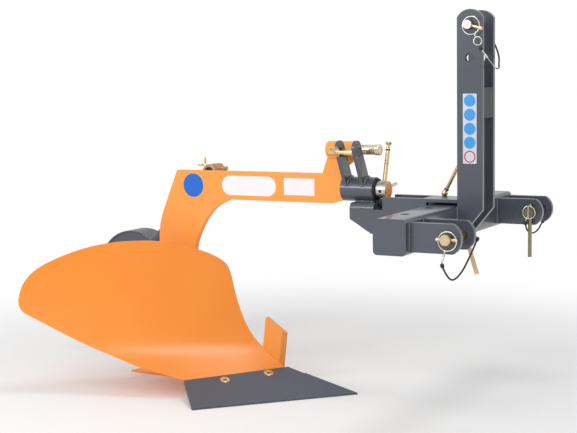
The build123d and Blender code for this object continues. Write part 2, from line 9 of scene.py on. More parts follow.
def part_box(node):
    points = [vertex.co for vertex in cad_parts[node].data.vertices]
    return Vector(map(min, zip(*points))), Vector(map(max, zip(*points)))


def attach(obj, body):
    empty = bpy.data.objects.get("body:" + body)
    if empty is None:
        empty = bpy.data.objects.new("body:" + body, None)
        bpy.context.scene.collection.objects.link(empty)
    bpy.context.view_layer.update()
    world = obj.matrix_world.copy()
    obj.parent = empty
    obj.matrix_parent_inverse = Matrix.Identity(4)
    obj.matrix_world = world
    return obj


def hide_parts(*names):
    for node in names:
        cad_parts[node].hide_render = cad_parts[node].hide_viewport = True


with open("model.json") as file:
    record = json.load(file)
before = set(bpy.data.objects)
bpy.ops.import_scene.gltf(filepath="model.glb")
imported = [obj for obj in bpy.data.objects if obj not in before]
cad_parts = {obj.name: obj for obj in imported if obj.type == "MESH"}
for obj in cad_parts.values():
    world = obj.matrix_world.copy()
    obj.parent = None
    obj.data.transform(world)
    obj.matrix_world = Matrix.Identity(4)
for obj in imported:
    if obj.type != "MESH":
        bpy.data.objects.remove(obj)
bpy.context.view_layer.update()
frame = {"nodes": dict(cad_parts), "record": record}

# A mounted single-furrow moldboard plough. Sizes in the tables are millimetres of the plough's drawing:
# x = 0 at the hitch beam's front face, y = 0 at the plane of the beam and mast, z = 0 on the ground.
nodes = frame["nodes"]
record = frame["record"]
body_of = {name: body for body, names in record["behaviour"]["bodies"].items() for name in names}
slot_of = {part["node"]: part["material_slot"] for part in record["subparts"]}
sleeve_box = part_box("sleeve")
shift = np.array((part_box("hitch_beam")[1][0], (sleeve_box[0][1] + sleeve_box[1][1]) / 2, 0.0))


def at(*point):
    """Drawing millimetres to metres of the model: a thousandth of each, moved by the drawing's own zero."""
    return np.asarray(point, float) / 1000 + shift


# ---------------------------------------------------------------- camera
turn, tilt, roll = (math.radians(angle) for angle in (28.975, 6.466, -1.004))
right = np.array((math.cos(turn), math.sin(turn), 0))
back = np.array((math.sin(turn) * math.cos(tilt), -math.cos(turn) * math.cos(tilt), math.sin(tilt)))
up = np.cross(back, right)
camera = bpy.data.objects.new("camera", bpy.data.cameras.new("camera"))
camera.data.sensor_width = 36
camera.data.lens = 78.05
axes = (right * math.cos(roll) + up * math.sin(roll), up * math.cos(roll) - right * math.sin(roll), back)
camera.matrix_world = Matrix.Translation(at(987.1, -2577.8, 745.9)) @ Matrix(axes).transposed().to_4x4()
bpy.context.collection.objects.link(camera)
bpy.context.scene.camera = camera
bpy.context.scene.view_settings.view_transform = "Standard"


# ---------------------------------------------------------------- materials
def linear(code):
    """An sRGB hex colour to the linear colour that a shader takes."""
    parts = [int(code[i:i + 2], 16) / 255 for i in (1, 3, 5)]
    return [c / 12.92 if c <= 0.04045 else ((c + 0.055) / 1.055) ** 2.4 for c in parts] + [1.0]


def add(tree, kind, settings=(), links=()):
    """Adds a node. A setting names one of its inputs or properties, a link joins an output to an input."""
    node = tree.nodes.new(kind)
    for key, value in dict(settings).items():
        if isinstance(key, str) and hasattr(node, key):
            setattr(node, key, value)
        else:
            node.inputs[key].default_value = value
    for key, source in dict(links).items():
        tree.links.new(source, node.inputs[key])
    return node


def ramp(tree, fac, stops):
    """A colour ramp over the value fac, from pairs of place and hex colour."""
    node = add(tree, "ShaderNodeValToRGB", (), {"Fac": fac})
    for _ in stops[2:]:
        node.color_ramp.elements.new(0.5)
    for element, (place, code) in zip(node.color_ramp.elements, stops):
        element.position = place
        element.color = linear(code)
    return node.outputs["Color"]


def finish(name, stops, cloud_mm, grain_mm, bump_mm, rough, metallic=0.0, coat=0.0):
    """A finish whose colour drifts over clouds of cloud_mm between the stops, with a grain of grain_mm that
    stands bump_mm proud, and a roughness that follows the clouds between the two numbers of rough."""
    material = bpy.data.materials.new(name)
    material.use_nodes = True
    tree = material.node_tree
    shader = tree.nodes["Principled BSDF"]
    place = add(tree, "ShaderNodeTexCoord").outputs["Object"]
    cloud = add(tree, "ShaderNodeTexNoise", {"Scale": 1000 / cloud_mm, "Detail": 3.0}, {"Vector": place})
    grain = add(tree, "ShaderNodeTexNoise", {"Scale": 1000 / grain_mm, "Detail": 2.0}, {"Vector": place})
    bump = add(tree, "ShaderNodeBump", {"Strength": 1.0, "Distance": bump_mm / 1000},
               {"Height": grain.outputs["Fac"]})
    polish = add(tree, "ShaderNodeMapRange", {"From Min": 0.3, "From Max": 0.7, "To Min": rough[0], "To Max": rough[1]},
                 {"Value": cloud.outputs["Fac"]})
    tree.links.new(ramp(tree, cloud.outputs["Fac"], stops), shader.inputs["Base Color"])
    tree.links.new(polish.outputs["Result"], shader.inputs["Roughness"])
    tree.links.new(bump.outputs["Normal"], shader.inputs["Normal"])
    shader.inputs["Metallic"].default_value = metallic
    shader.inputs["Coat Weight"].default_value = coat
    shader.inputs["Coat Roughness"].default_value = 0.09
    return material


# Powder coat, sprayed and baked on steel: a smooth plastic skin, which gives the eye flat, even colour with a soft
# sheen and a faint peel. The real peel of about 1 mm is too fine to show here, so it is drawn at 4 mm.
orange_powder_coat = finish("orange_powder_coat", [(0.3, "#FE9E40"), (0.7, "#FFA447")], 180, 4, 0.012, (0.34, 0.42),
                            coat=0.1)
anthracite_powder_coat = finish("anthracite_powder_coat", [(0.3, "#484C57"), (0.7, "#4E525D")], 160, 4, 0.010,
                                (0.30, 0.40), coat=0.5)
# Enamel, dipped and baked on the rolled board: a deeper orange than the beam's, with a smoother, wider sheen.
orange_baked = finish("orange_baked_enamel", [(0.3, "#F88E29"), (0.7, "#FB942F")], 180, 4, 0.012, (0.27, 0.32),
                      coat=0.08)
# The same enamel on the forged share: matt and even, a little lighter than the headstock.
anthracite_baked = finish("anthracite_baked_enamel", [(0.3, "#525763"), (0.7, "#575C68")], 180, 4, 0.012, (0.5, 0.58))
# On the spacer between the mast plates: darker than the plates' powder coat, as painted shade for the gap between them;
# dull and slightly rough.
anthracite_spacer_shade = finish("anthracite_painted_gap_shade", [(0.3, "#3A3D43"), (0.7, "#41444A")], 12, 2.5, 0.05,
                           (0.55, 0.65))
# Powder coat over a weld bead: the same skin, glossier on its ripples, so a bead glints along its length.
anthracite_weld = finish("anthracite_coated_weld", [(0.3, "#4B4F59"), (0.7, "#565A64")], 12, 2.5, 0.05, (0.28, 0.40),
                         coat=0.7)
orange_weld = finish("orange_coated_weld", [(0.3, "#F6923D"), (0.7, "#FC9F4C")], 12, 2.5, 0.05, (0.28, 0.40), coat=0.2)
# Zinc, yellow-passivated on turned steel: a metal that drifts from straw to a faint green and rose.
yellow_zinc = finish("yellow_passivated_zinc",
                     [(0.25, "#B7A77C"), (0.45, "#E2CE9E"), (0.6, "#DDC696"), (0.8, "#CBB192")],
                     14, 2.5, 0.004, (0.24, 0.38), metallic=1.0)
# The same plating, warmer and thicker, on the right-hand lower pin: beige, with broader highlights.
rose_zinc = finish("rose_passivated_zinc", [(0.3, "#C9B088"), (0.6, "#DBC49C"), (0.8, "#BFA682")], 18, 2.5, 0.004,
                   (0.34, 0.46), metallic=1.0)
# Yellow-passivated zinc drawn darker and greener as painted shade: on the far, left-hand lower pin and on the
# right-hand one's shank between the cheeks.
shaded_yellow_zinc = finish("yellow_zinc_painted_shade", [(0.3, "#857C62"), (0.6, "#A0926F"), (0.8, "#77705A")], 18, 2.5, 0.004,
                    (0.30, 0.45), metallic=1.0)
# The palest of it, nearly clear, on the linchpins, the roll pin and the pin above the shaft: cream, near silver.
pale_zinc = finish("clear_passivated_zinc", [(0.3, "#C9B790"), (0.55, "#E6DAB8"), (0.8, "#C2AD86")], 16, 2.5, 0.004,
                   (0.24, 0.36), metallic=1.0)
# Bronze-passivated zinc on the milled clamp at the beam's heel: brown metal with a dull gleam.
bronze_zinc = finish("bronze_passivated_zinc", [(0.3, "#B48A62"), (0.6, "#CDA377"), (0.8, "#A97F58")], 16, 2.5, 0.006,
                     (0.34, 0.48), metallic=0.9)
# Bright zinc on drawn spring wire, and on the top link pin: nearly white, with tight highlights.
bright_wire = finish("bright_zinc_drawn_wire", [(0.3, "#D9D8D2"), (0.7, "#F2F0EA")], 6, 0.6, 0.003, (0.18, 0.28),
                     metallic=1.0)
# PVC, extruded over a thin wire core: black with a soft line of light. Polyamide, moulded into the beads: duller.
black_pvc = finish("black_extruded_pvc", [(0.3, "#17181A"), (0.7, "#232427")], 10, 1.0, 0.02, (0.38, 0.50))
black_polyamide = finish("black_moulded_polyamide", [(0.3, "#141517"), (0.7, "#1F2023")], 10, 0.8, 0.02, (0.40, 0.50))
# Bare turned steel on the shaft's bearing end: light grey metal with fine turning marks.
turned_steel = finish("bare_turned_steel", [(0.3, "#A9A49C"), (0.7, "#D6D2CA")], 14, 0.7, 0.010, (0.25, 0.38),
                      metallic=1.0)
# Nearly black, as painted shade in holes, sockets and gaps, so each reads as deep.
hole_shadow = finish("painted_hole_shade", [(0.3, "#0E0E10"), (0.7, "#161618")], 6, 0.8, 0.01, (0.6, 0.8))
# Vinyl film, cast in one colour and left plain: flat and even, with a satin face.
white_vinyl = finish("white_cast_vinyl", [(0.3, "#F6EFF2"), (0.7, "#FAF4F7")], 60, 3, 0.003, (0.32, 0.40))
pale_vinyl = finish("pale_cast_vinyl", [(0.3, "#CFD6E4"), (0.7, "#D8DEE9")], 60, 3, 0.003, (0.32, 0.40))
blue_vinyl = finish("blue_cast_vinyl", [(0.3, "#0664C8"), (0.7, "#0A6CD2")], 60, 3, 0.003, (0.30, 0.38))
sky_vinyl = finish("sky_blue_cast_vinyl", [(0.3, "#3A9BE4"), (0.7, "#46A5EA")], 60, 3, 0.003, (0.30, 0.38))
red_vinyl = finish("red_cast_vinyl", [(0.3, "#C9304A"), (0.7, "#D23C55")], 60, 3, 0.003, (0.30, 0.38))
coats = {"orange_paint": orange_powder_coat, "grey_paint": anthracite_powder_coat, "yellow_zinc": yellow_zinc,
         "black_cord": black_pvc}


def sheathed_wire():
    """Bright wire rope whose black sheath starts where it turns back between the mast's plates."""
    material = black_pvc.copy()
    material.name = "half_sheathed_wire_rope"
    tree = material.node_tree
    sheath = tree.nodes["Principled BSDF"]
    bare = add(tree, "ShaderNodeBsdfPrincipled", {"Base Color": linear("#DAD8D3"), "Metallic": 1.0, "Roughness": 0.3})
    place = add(tree, "ShaderNodeTexCoord").outputs["Object"]
    apart = add(tree, "ShaderNodeSeparateXYZ", (), {"Vector": place})
    start, end = at(0, -22, 0)[1], at(0, -18, 0)[1]
    fade = add(tree, "ShaderNodeMapRange", {"From Min": start, "From Max": end}, {"Value": apart.outputs["Y"]})
    mix = add(tree, "ShaderNodeMixShader", (), {0: fade.outputs["Result"], 1: bare.outputs["BSDF"],
                                                2: sheath.outputs["BSDF"]})
    tree.links.new(mix.outputs["Shader"], tree.nodes["Material Output"].inputs["Surface"])
    return material


def studio_floor():
    """A pale matt floor. Away from the plough it fades into the white behind it."""
    material = bpy.data.materials.new("pale_studio_floor")
    material.use_nodes = True
    tree = material.node_tree
    shader = tree.nodes["Principled BSDF"]
    shader.inputs["Base Color"].default_value = linear("#FDFDFD")
    shader.inputs["Roughness"].default_value = 0.9
    shader.inputs["Specular IOR Level"].default_value = 0.1
    place = add(tree, "ShaderNodeTexCoord").outputs["Object"]
    far = add(tree, "ShaderNodeVectorMath", {"operation": "LENGTH"}, {0: place})
    fade = add(tree, "ShaderNodeMapRange", {"interpolation_type": "SMOOTHSTEP", "From Min": 0.7, "From Max": 1.7},
               {"Value": far.outputs["Value"]})
    white = add(tree, "ShaderNodeEmission", {"Color": linear("#FFFFFF"), "Strength": 1.0})
    mix = add(tree, "ShaderNodeMixShader", (), {0: fade.outputs["Result"], 1: shader.outputs["BSDF"],
                                                2: white.outputs["Emission"]})
    tree.links.new(mix.outputs["Shader"], tree.nodes["Material Output"].inputs["Surface"])
    return material


# ---------------------------------------------------------------- shapes
def full_turn(count):
    """The angles of count places spread evenly round a circle."""
    return np.linspace(0, 2 * math.pi, count, endpoint=False)


def grid_faces(rows, columns, close_rows=False, close_columns=False):
    """The four-sided faces that join a grid of points: each point, the next in its row, and the two beside them."""
    i, j = np.meshgrid(np.arange(rows - (not close_rows)), np.arange(columns - (not close_columns)), indexing="ij")
    n, m = (i + 1) % rows, (j + 1) % columns
    return np.stack([i * columns + j, n * columns + j, n * columns + m, i * columns + m], -1).reshape(-1, 4).tolist()


def capped(points):
    """A grid whose rows are rings, joined into a tube with a flat end at its first and last ring."""
    rows, columns = points.shape[:2]
    ends = [list(range(columns)), list(range((rows - 1) * columns, rows * columns))]
    return points.reshape(-1, 3), grid_faces(rows, columns, close_columns=True) + ends


def frame_of(axis):
    """The axis at length 1, and two directions of length 1 that are square to it and to each other."""
    axis = np.asarray(axis, float) / np.linalg.norm(axis)
    side = np.cross(axis, (0.0, 0.0, 1.0) if abs(axis[2]) < 0.9 else (1.0, 0.0, 0.0))
    side /= np.linalg.norm(side)
    return axis, side, np.cross(axis, side)


def turned(origin, axis, profile, sides=48):
    """A turned shape: each pair (s, r) of the profile is a ring of radius r at s along the axis."""
    axis, side, across = frame_of(axis)
    s, r = np.array(profile, float).T
    angle = full_turn(sides)
    ring = np.cos(angle)[:, None] * side + np.sin(angle)[:, None] * across
    return capped(at(*origin) + (s[:, None, None] * axis + r[:, None, None] * ring[None]) / 1000)


def hoop(centre, axis, radius, wire, around=64, sides=12, lean=0.0):
    """A ring of round wire: a circle of the wire's radius carried round a circle of the ring's radius,
    opened out along the axis by lean times the sine of twice the angle."""
    axis, side, across = frame_of(axis)
    u = full_turn(around)[:, None]
    v = full_turn(sides)[None, :]
    out = np.cos(u)[..., None] * side + np.sin(u)[..., None] * across
    points = (radius + wire * np.cos(v))[..., None] * out + (wire * np.sin(v) + lean * np.sin(2 * u))[..., None] * axis
    return (at(*centre) + points / 1000).reshape(-1, 3), grid_faces(around, sides, True, True)


def piped(path, radius, sides=12):
    """A round bar along a path of drawing points: a circle in the plane square to the path at each point."""
    path = np.array(path, float)
    ahead = np.gradient(path, axis=0)
    ahead /= np.linalg.norm(ahead, axis=1)[:, None]
    _, side, _ = frame_of(ahead[0])
    sides_at = np.empty_like(path)
    for k, direction in enumerate(ahead):
        side = side - direction * (side @ direction)
        side /= np.linalg.norm(side)
        sides_at[k] = side
    across = np.cross(ahead, sides_at)
    angle = full_turn(sides)
    ring = np.cos(angle)[None, :, None] * sides_at[:, None] + np.sin(angle)[None, :, None] * across[:, None]
    radius = np.broadcast_to(np.asarray(radius, float), len(path))
    return capped(shift + (path[:, None] + radius[:, None, None] * ring) / 1000)


def twisted_pair(start, end, coil, wire, turns):
    """Two wires wound round the line from start to end: each is a helix, half a turn from the other."""
    start, end = np.array(start, float), np.array(end, float)
    axis, side, across = frame_of(end - start)
    t = np.linspace(0, 1, 24 * turns)[:, None]
    shapes = []
    for lag in (0.0, math.pi):
        angle = 2 * math.pi * turns * t + lag
        shapes.append(piped(start + t * (end - start) + coil * np.sin(math.pi * t) ** 0.5
                            * (np.cos(angle) * side + np.sin(angle) * across), wire, 8))
    return shapes


def ripple(path, outwards, width, height, pitch=5.0):
    """A weld bead on a path of drawing points: a half ellipse of that width and height over the surface, closed
    a little under it, whose size swells and shrinks once for each pitch, as one pool of metal lies on the last."""
    path, outwards = np.array(path, float), np.array(outwards, float)
    spans = np.linalg.norm(np.diff(path, axis=0), axis=1)
    run = np.concatenate([[0], np.cumsum(spans)])
    count = max(8, int(run[-1] / pitch * 6))
    s = np.linspace(0, run[-1], count)
    line = np.stack([np.interp(s, run, path[:, k]) for k in range(3)], -1)
    normal = np.stack([np.interp(s, run, outwards[:, k]) for k in range(3)], -1) if outwards.ndim == 2 \
        else np.broadcast_to(outwards, line.shape)
    normal = normal / np.linalg.norm(normal, axis=1)[:, None]
    ahead = np.gradient(line, axis=0)
    ahead /= np.linalg.norm(ahead, axis=1)[:, None]
    across = np.cross(ahead, normal)
    pool = 0.86 + 0.14 * np.abs(np.sin(math.pi * s / pitch + 0.6 * np.sin(0.13 * s)))
    taper = np.minimum(1, np.sqrt(np.minimum(s, run[-1] - s) / (0.6 * width) + 0.05))
    angle = np.linspace(-0.25, math.pi + 0.25, 11)
    reach = (pool * taper)[:, None, None]
    points = line[:, None] + reach * (width / 2 * np.cos(angle)[None, :, None] * across[:, None]
                                      + height * np.sin(angle)[None, :, None] * normal[:, None])
    return capped(shift + points / 1000)


def slab(outline, origin, side, rise, thick):
    """A flat plate: the outline's points, in mm along side and rise from the origin, and the same points
    moved by thick along the direction square to both."""
    outline = np.array(outline, float)
    side, rise = np.array(side, float), np.array(rise, float)
    face = np.array(origin, float) + outline[:, :1] * side + outline[:, 1:] * rise
    points = np.stack([face, face + thick * np.cross(side, rise)])
    return capped(shift + points / 1000)


def rounded(width, height, corner, steps=10):
    """The outline of a rectangle whose corners are quarter circles."""
    angle = np.linspace(0, math.pi / 2, steps)
    arcs = [np.stack([np.cos(angle + k * math.pi / 2) * corner + cx * (width / 2 - corner),
                      np.sin(angle + k * math.pi / 2) * corner + cy * (height / 2 - corner)], -1)
            for k, (cx, cy) in enumerate(((1, 1), (-1, 1), (-1, -1), (1, -1)))]
    return np.concatenate(arcs)


def bead(start, end, radius, length, stem):
    """A moulded stop on a cord's end: a barrel whose radius follows a half sine, on a stem of the cord's size."""
    start, end = np.array(start, float), np.array(end, float)
    t = np.linspace(0, 1, 14)
    barrel = stem + (radius - stem) * np.sin(math.pi * t) ** 0.6
    return turned(start, end - start, np.stack([t * length, barrel], -1), 24)


def curve_through(points, steps=14):
    """A smooth line through points: between two of them, the cubic whose slopes are those of their neighbours."""
    points = np.array(points, float)
    slopes = np.gradient(points, axis=0)
    t = np.linspace(0, 1, steps, endpoint=False)[:, None]
    runs = [(2 * t ** 3 - 3 * t ** 2 + 1) * p + (t ** 3 - 2 * t ** 2 + t) * m + (3 * t ** 2 - 2 * t ** 3) * q
            + (t ** 3 - t ** 2) * n for p, q, m, n in zip(points, points[1:], slopes, slopes[1:])]
    return np.concatenate(runs + [points[-1:]])


def finished(mesh, smooth_to):
    """Smooths a mesh across its edges, but not across those that turn more than smooth_to degrees."""
    work = bmesh.new()
    work.from_mesh(mesh)
    for face in work.faces:
        face.smooth = True
    for edge in work.edges:
        edge.smooth = edge.calc_face_angle(0.0) < math.radians(smooth_to)
    work.to_mesh(mesh)
    work.free()


def bevelled(obj, edge_mm):
    """Rounds the edges that turn more than 30 degrees, edge_mm wide."""
    bevel = obj.modifiers.new("rounded edges", "BEVEL")
    bevel.width = edge_mm / 1000
    bevel.segments = 2
    bevel.limit_method = "ANGLE"
    bevel.angle_limit = math.radians(30)


def piece(name, shapes, material, body, stands_for=(), smooth_to=38):
    """One new piece from closed shapes: their points and faces in one mesh, its faces turned outwards."""
    mesh = bpy.data.meshes.new(name)
    points, faces, start = [], [], 0
    for shape_points, shape_faces in shapes:
        points.append(shape_points)
        faces += [[index + start for index in face] for face in shape_faces]
        start += len(shape_points)
    mesh.from_pydata(np.concatenate(points).tolist(), [], faces)
    work = bmesh.new()
    work.from_mesh(mesh)
    bmesh.ops.recalc_face_normals(work, faces=work.faces)
    work.to_mesh(mesh)
    work.free()
    finished(mesh, smooth_to)
    obj = bpy.data.objects.new(name, mesh)
    obj.data.materials.append(material)
    bpy.context.collection.objects.link(obj)
    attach(obj, body)
    if stands_for:
        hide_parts(*stands_for)
    return obj


def plate(name, outlines, y, thick, edge_mm, node):
    """An orange plate cut to outlines in x and z, from y towards the landside, with its edges rounded."""
    shapes = [slab(outline, (0, y + thick, 0), (1, 0, 0), (0, 0, 1), thick) for outline in outlines]
    bevelled(piece(name, shapes, orange_powder_coat, "plough", [node], smooth_to=20), edge_mm)


def softened(node, edge_mm, material=None, merge_flats=True):
    """A copy of a solid with its loose triangles joined and its edges rounded, as coating leaves them."""
    mesh = nodes[node].data.copy()
    work = bmesh.new()
    work.from_mesh(mesh)
    bmesh.ops.remove_doubles(work, verts=work.verts, dist=2e-5)
    if merge_flats:
        bmesh.ops.dissolve_limit(work, angle_limit=math.radians(0.4), verts=work.verts, edges=work.edges)
    work.to_mesh(mesh)
    work.free()
    finished(mesh, 30)
    obj = bpy.data.objects.new(node + "_finished", mesh)
    obj.data.materials.clear()
    obj.data.materials.append(material or coats[slot_of[node]])
    bpy.context.collection.objects.link(obj)
    if edge_mm:
        bevelled(obj, edge_mm)
        weighted = obj.modifiers.new("even shading", "WEIGHTED_NORMAL")
        weighted.keep_sharp = False
    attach(obj, body_of[node])
    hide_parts(node)


# ---------------------------------------------------------------- cords, from each linchpin to its pin
tether_routes = {
    "right": [(75.5, -317, 374), (78, -317, 365), (82.4, -313, 353.5), (85, -304, 343.5),
              (88.2, -294, 337.5), (92, -280, 340), (97.5, -264, 351), (101.2, -249, 365.7),
              (104.2, -232, 382.8), (106.4, -216, 398.9), (108.3, -202, 413.2)],
    "left": [(74.9, 198, 400), (74.9, 203, 384), (77.4, 214, 373.8), (79.9, 230, 369.1), (81.8, 248, 367.9),
             (83.4, 272, 373.3), (82.2, 296, 383.5), (80.9, 316, 388)],
    "top": [(56.8, -53.4, 798.4), (62, -52.5, 790), (69, -49, 778.9), (76.9, -38, 763.5),
            (80.6, -15, 749.7), (78, 10, 753), (70.6, 28, 762), (64.6, 48, 773.6), (57.9, 52, 793.7),
            (46, 53, 816), (34, 51, 837)],
}
# The cord's thickness at its first route points, as parts of the whole; from the last of them on it stays.
tether_swells = {"top": [1.0, 0.8, 0.42, 0.38, 0.55, 1.0]}
cord_diameter, drawn_radius = 0.004, 0.0019
for side, route in tether_routes.items():
    curve = bpy.data.curves.new("tether_" + side + "_cord", "CURVE")
    curve.dimensions = "3D"
    spline = curve.splines.new("NURBS")
    spline.points.add(len(route) - 1)
    spline.points.foreach_set("co", np.concatenate([at(*point).tolist() + [1.0] for point in route]))
    spline.order_u = 3
    spline.use_endpoint_u = True
    spline.resolution_u = 16
    swell = tether_swells.get(side, [1.0])
    spline.points.foreach_set("radius", swell + swell[-1:] * (len(route) - len(swell)))
    curve.bevel_depth = drawn_radius
    curve.bevel_resolution = 4
    curve.use_fill_caps = True
    cord = bpy.data.objects.new("tether_" + side + "_cord", curve)
    cord.data.materials.append(sheathed_wire() if side == "top" else black_pvc)
    bpy.context.collection.objects.link(cord)
    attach(cord, "headstock")
    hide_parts("tether_" + side)
    stops = [piece("tether_" + side + "_bead_" + name, [bead(a, b, 4.2, 10, 1.8)], black_polyamide, "headstock") for name, a, b in (("first", route[0], route[1]), ("last", route[-1], route[-2]))]
    if side == "top":
        crimp = turned((67.4, -50.2, 781.6), (7.4, 9.0, -15.0), [(0, 1.4), (0.8, 2.2), (8.4, 2.2), (9.2, 1.4)], 20)
        stops.append(piece("tether_top_crimp", [crimp], bright_wire, "headstock"))

# ---------------------------------------------------------------- wire: linchpins and the tethers' rings
pin_axis, ring_radius = (0, 1, 0), 19
linch_spots = {
    # name: where the shank crosses its pin, its tilt, its middle forward of there, the ring's middle, the link's end
    "right": ((83, -311, 420), 0.0, 0.0, (85.4, -312.4, 417.2), (75.5, -316.4, 374.6)),
    "left": ((83, 311, 420), 0.0, 0.0, (83, 312.4, 419), (80.9, 316.4, 390.4)),
    "top": ((29, -48, 845), 17.5, 11.0, (35.6, -49.4, 842.8), (56.8, -53.4, 799)),
}
for name, (spot, tilt, slide, middle, foot) in linch_spots.items():
    way = np.array((math.cos(math.radians(tilt)), 0, -math.sin(math.radians(tilt))))
    shank = turned(spot + way * (slide - 23), way, [(0, 1.8), (1.5, 2.8), (41, 2.8), (44, 2.2), (46, 1.2)], 24)
    collars = [turned(spot + way * (slide + far), way, [(-3, 2.8), (-2.2, 3.9), (2.2, 3.9), (3, 2.8)], 24)
               for far in (-18, 18)]
    ring = hoop(middle, pin_axis, ring_radius, 1.15, lean=0.5)
    # The link leaves the ring on the side nearest its foot.
    down = np.array(foot, float) - middle
    down[1] = 0
    low = middle + ring_radius * down / np.linalg.norm(down)
    if name == "top":
        rest = np.array(foot, float) - low
        link = [hoop(low + rest * 0.60, pin_axis, 8.8, 0.95, 48, 10, lean=0.4)]
        link += twisted_pair(low, low + rest * 0.30, 1.5, 0.75, 1)
    else:
        link = twisted_pair(low, foot, 2.0, 0.9, 3 if name == "right" else 1)
    piece("linchpin_" + name + "_shank", [shank] + collars, pale_zinc, "headstock")
    piece("linchpin_" + name + "_ring", [ring] + link, bright_wire, "headstock", ["linchpin_" + name])
eye_radius = 14.6
for name, x, y, z, cord_end in (("right", 83.0, -198.4, 418.5, (108.3, -201.6, 413.2)),
                                ("left", 83.4, 198.4, 420.5, (74.9, 198, 400))):
    eye = hoop((x, y, z), pin_axis, eye_radius, 1.2, lean=0.3)
    stay = turned((x - 2, y, z - eye_radius), (0, 0, 1), [(0, 1.2), (2 * eye_radius, 1.2)], 12)
    reach = np.array(cord_end, float) - (x, y, z)
    link = piped([np.array((x, y, z)) + reach * k for k in (eye_radius / np.linalg.norm(reach), 1.0)], 0.9, 8)
    piece("tether_ring_" + name + "_wire", [eye, stay, link], bright_wire, "headstock",
          ["tether_ring_" + name])

# ---------------------------------------------------------------- rods with a ball end
for name, ball, tip, body, size in (("front", (-197, 38, 580), (-197, 15.5, 501), "plough", 1.2),
                                    ("rear", (-58, 34, 476.4), (-8, 31, 568), "headstock", 1.0)):
    reach = np.linalg.norm(np.array(tip, float) - np.array(ball, float))
    way = (np.array(tip, float) - np.array(ball, float)) / reach
    if name == "front":
        knob = [(-10.0, 3.0), (-9.4, 6.2), (-6.2, 7.4), (-4.4, 6.6), (-1.5, 4.3), (3.0, 4.0), (6.0, 5.0)]
    else:
        knob = [(-7.4 * math.cos(a), 7.4 * math.sin(a)) for a in np.linspace(0.12, math.pi - 0.6, 18)]
    stem = [(8.4, 4.1 * size), (12.0, 3.4 * size), (14, 4.0 * size), (reach, 4.2 * size)]
    rod = turned(ball, way, knob + stem, 32)
    band = turned(np.array(ball) + way * 8.2, way, [(0, 4.4), (0.4, 5.6), (2.6, 5.6), (3.0, 4.4)], 32)
    piece("rod_" + name + "_bar", [rod], yellow_zinc, body, ["rod_" + name])
    piece("rod_" + name + "_band", [band], black_polyamide, body)

# ---------------------------------------------------------------- main shaft, sleeve and the pins across them
forward = (1, 0, 0)
shaft_height, shaft_radius, bare_from, shaft_tip = 483, 19.9, -209, -179
sleeve_radius, sleeve_rear, sleeve_long = 28, -290.5, 81.5
piece("main_shaft_steel", [turned((bare_from, 0, shaft_height), forward,
                                  [(0, shaft_radius), (28.2, shaft_radius), (29.2, 19.0), (30, 18.2)], 64)],
      turned_steel, "plough", ["main_shaft"])
piece("main_shaft_painted", [turned((-296, 0, shaft_height), forward,
                                    [(0, 19.0), (1, shaft_radius), (87, shaft_radius)], 64)],
      orange_powder_coat, "plough")
piece("sleeve_tube", [turned((sleeve_rear, 0, shaft_height), forward,
                             [(0, 20.2), (0.1, 26.8), (1.2, sleeve_radius), (sleeve_long - 1.2, sleeve_radius),
                              (sleeve_long - 0.1, 26.8), (sleeve_long, 20.2)], 72)],
      anthracite_powder_coat, "headstock", ["sleeve"])
# A darker sleeve round the right-hand lower pin where it lies between the cheeks: painted shade.
piece("lower_pin_right_shaded_shank", [turned((83, -288.6, 420), pin_axis, [(0, 11.25), (59.2, 11.25)], 64)], shaded_yellow_zinc,
      "headstock")
# A black slab in the notch under the shaft, where the saddle's front wall is cut back: painted shade for the dark slot
# there.
notch = [(-199.5, 442), (-179, 442), (-179, 462), (-199.5, 462)]
piece("saddle_notch_shade", [slab(notch, (0, 12, 0), forward, (0, 0, 1), 24)], black_polyamide, "headstock",
      smooth_to=20)
piece("main_shaft_face", [turned((shaft_tip - 0.3, 0, shaft_height), forward, [(0, 18.2), (0.45, 18.0), (0.5, 17.6)],
                                 64)], orange_powder_coat, "plough", smooth_to=20)
# A dark disc on the middle of the shaft's end: painted shade for its centre hole.
piece("main_shaft_centre_shade", [turned((shaft_tip + 0.1, 0, shaft_height), forward, [(0, 1.6), (0.25, 1.5)], 20)],
      hole_shadow, "plough")
piece("main_shaft_shadow_gap", [turned((bare_from, 0, shaft_height), forward,
                                       [(0, 25.5), (3.6, 25.0), (4.4, 23.0), (4.5, 20.2)], 64)],
      hole_shadow, "headstock")
# The roll pin lies across the shaft, its far end 6 degrees up.
pin_tilt = math.radians(6)
pin_way = np.array((0, math.cos(pin_tilt), math.sin(pin_tilt)))
spot = np.array((-193.0, 0, shaft_height))
piece("roll_pin_bar", [turned(spot + pin_way * 12, pin_way, [(0, 3.9), (58, 3.9), (59.4, 3.3), (60, 2.4)], 32)],
      pale_zinc, "plough", ["roll_pin"])
# A dark ring at the mouth of the roll pin's hole in the shaft: painted shade.
piece("roll_pin_mouth_shade", [turned(spot - pin_way * 20.3, pin_way, [(0, 3.6), (1.5, 3.9)], 32)], hole_shadow, "plough")
lug_bolt_y, lug_bolt_height, perch_height = -49, 570, 573
piece("lug_bolt_cap", [turned((-233, lug_bolt_y, lug_bolt_height), forward,
                              [(0, 9.3), (1.6, 9.3), (2.2, 8.6), (2.4, 7.0)], 48)],
      anthracite_powder_coat, "headstock")
piece("lug_bolt_bar", [turned((-303, lug_bolt_y, lug_bolt_height), forward,
                              [(0, 7.6), (0.6, 8.8), (1.8, 9.4), (70, 9.4)], 48)],
      yellow_zinc, "headstock", ["lug_bolt"])
piece("perch_pin_bar", [turned((-300, 0, perch_height), forward,
                               [(0, 11.6), (85, 11.6), (86, 10.8), (88.5, 10.8), (89.5, 12.5), (99.6, 12.5),
                                (100.6, 11.9), (101, 10.9)], 64)], pale_zinc, "plough", ["perch_pin"])
piece("perch_tube_body", [turned((-331, 0, perch_height), forward,
                                 [(0, 17.4), (0.5, 18.6), (1.8, 19.0), (73, 19.0), (74.2, 18.4), (74.4, 16.6)], 72)],
      orange_powder_coat, "plough", ["perch_tube"])
